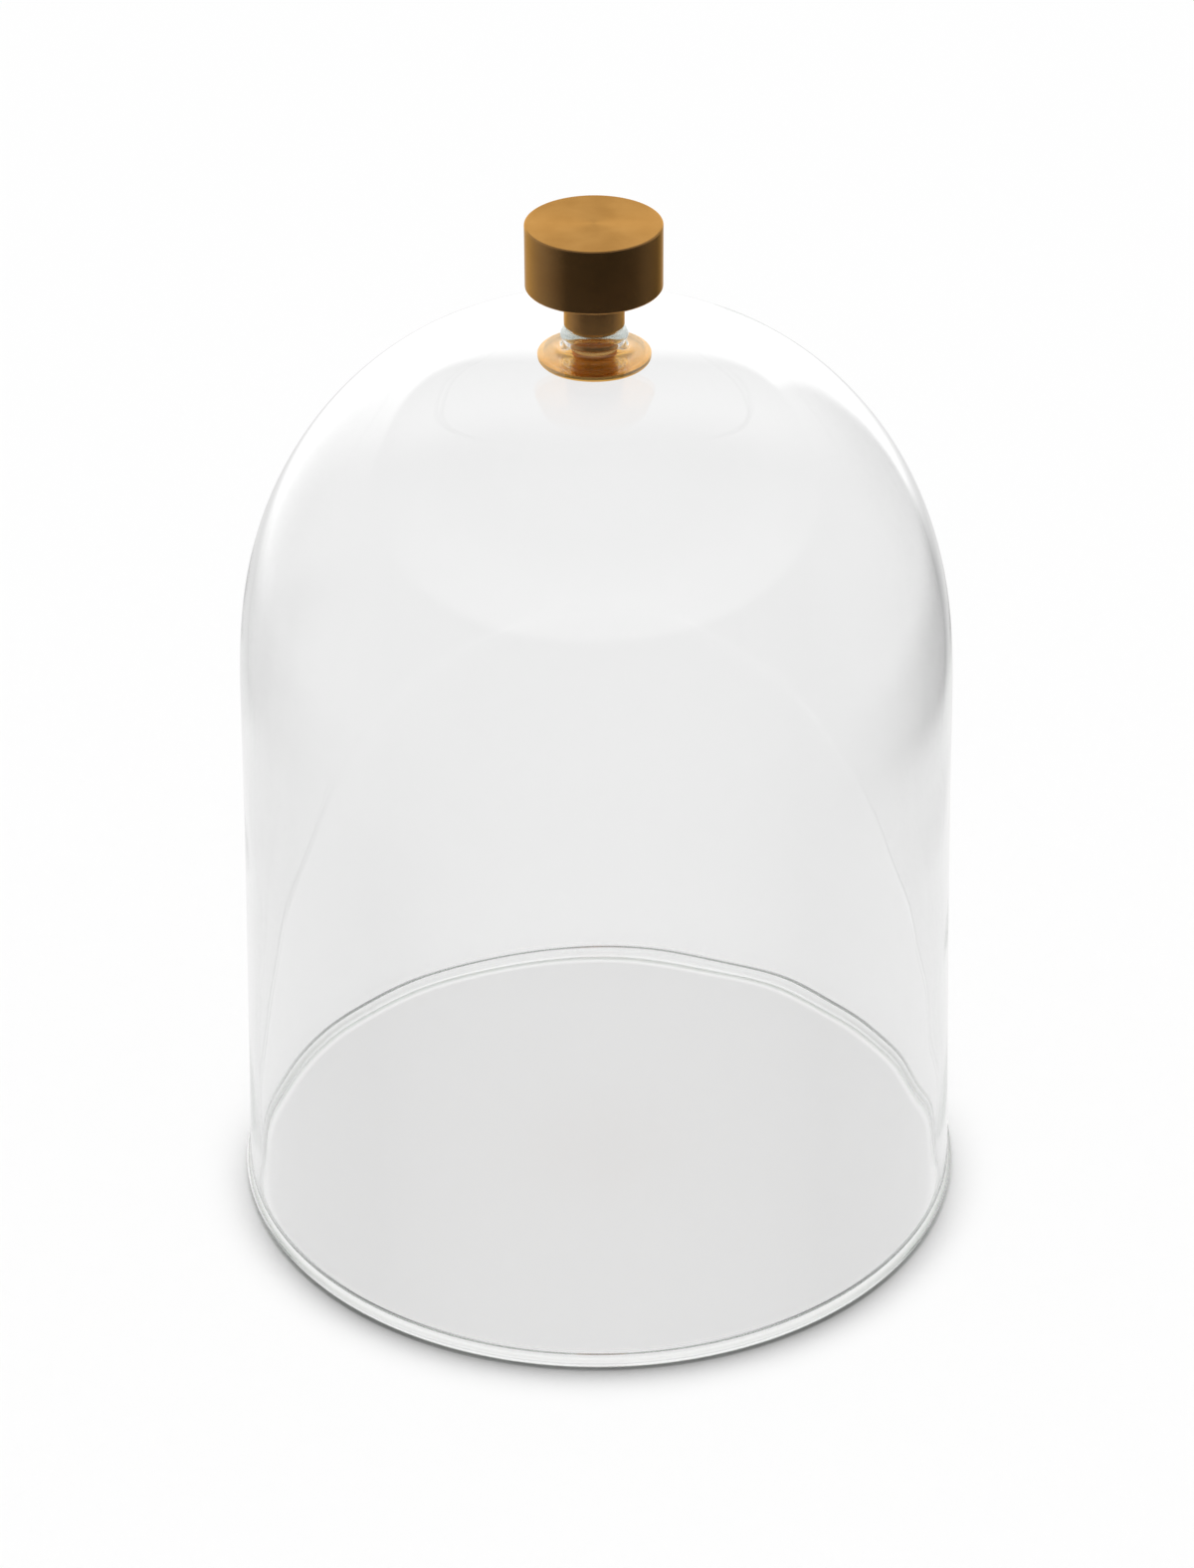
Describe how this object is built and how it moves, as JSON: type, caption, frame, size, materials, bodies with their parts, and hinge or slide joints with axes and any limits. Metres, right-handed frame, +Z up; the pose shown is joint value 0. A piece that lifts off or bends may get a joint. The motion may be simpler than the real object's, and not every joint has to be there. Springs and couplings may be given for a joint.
{
  "type": "bell jar dome",
  "caption": "Clear glass bell jar with an open neck, lifted by a turned brass knob that a screw and an inner plate clamp to the glass.",
  "frame": {"origin": "centre of the ring on which the foot of the bell stands", "axes": "+Z up along the axis of the bell and the knob; +X and +Y are any two directions across it"},
  "size_m": [0.2, 0.2, 0.2855],
  "materials": {
    "clear_glass": "clear blown glass, fire polished",
    "satin_brass": "fine turned satin, lacquered",
    "plain_brass": "as machined",
    "clear_silicone": "translucent, soft, slightly matt"
  },
  "bodies": {
    "bell": {"glass_bell": "clear_glass", "lip_gasket": "clear_silicone"},
    "knob": {"knob_head": "satin_brass", "collar": "satin_brass"},
    "clamp": {"clamp_screw": "plain_brass", "neck_bush": "plain_brass", "crown_gasket": "clear_silicone", "clamp_plate": "satin_brass"}
  },
  "joints": [
    {"name": "knob_turn", "type": "hinge", "parent": "bell", "child": "knob", "pos_m": [0, 0, 0.258], "axis": [0, 0, 1], "range_deg": [0, 2160]},
    {"name": "clamp_drop", "type": "slide", "parent": "bell", "child": "clamp", "axis": [0, 0, -1], "range_m": [0, 0.006]}
  ],
  "couplings": [
    {"joint": "clamp_drop", "follows": "knob_turn", "m_per_rad": 0.00015915}
  ]
}
